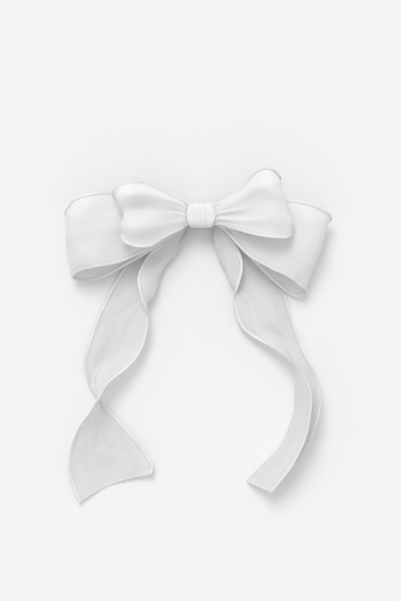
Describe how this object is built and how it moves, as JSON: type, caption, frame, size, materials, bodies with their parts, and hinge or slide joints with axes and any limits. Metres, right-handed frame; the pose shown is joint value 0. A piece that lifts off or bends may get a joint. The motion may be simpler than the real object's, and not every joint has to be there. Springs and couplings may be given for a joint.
{
  "type": "hair bow",
  "caption": "Two-tier sheer ribbon hair bow with wired edges, pleated centre knot and long tails on a lined alligator clip.",
  "frame": {"origin": "on the flat back of the clip's lower jaw, straight under the centre of the knot", "axes": "+X to the bow's right seen from its face, +Y to its top away from the tails, +Z out of its face; it lies face up on z = 0"},
  "size_m": [0.1511, 0.1898, 0.0306],
  "materials": {
    "organza": "sheer white organza ribbon, one ply, slightly translucent",
    "organza_wrap": "white organza ribbon folded to several plies, opaque",
    "edge_binding": "satin thread stitched over a fine wire along each ribbon edge",
    "thread": "white cotton sewing thread",
    "glue": "set hot-melt glue",
    "satin_lining": "narrow white ribbed ribbon",
    "clip_steel": "nickel-plated pressed sheet steel",
    "spring_steel": "drawn spring wire"
  },
  "bodies": {
    "bow": {"centre_wrap": "organza_wrap", "gather_thread": "thread", "front_loop_left": "organza", "front_loop_right": "organza", "back_loop_left": "organza", "back_loop_right": "organza", "tail_left": "organza", "tail_right": "organza", "edge_wires_front_left": "edge_binding", "edge_wires_front_right": "edge_binding", "edge_wires_back_left": "edge_binding", "edge_wires_back_right": "edge_binding", "edge_wires_tail_left": "edge_binding", "edge_wires_tail_right": "edge_binding", "glue_pad": "glue", "clip_lining": "satin_lining", "clip_top_lever": "clip_steel", "clip_hinge_pin": "clip_steel", "clip_spring": "spring_steel"},
    "jaw": {"clip_bottom_jaw": "clip_steel"}
  },
  "joints": [
    {"name": "clip_jaw_hinge", "type": "hinge", "parent": "bow", "child": "jaw", "pos_m": [0.0145, 0, 0.00265], "axis": [0, -1, 0], "range_deg": [0, 28], "stiffness_Nm_per_rad": 0.01, "springref_deg": -114.59, "deforming": ["clip_spring"]}
  ]
}
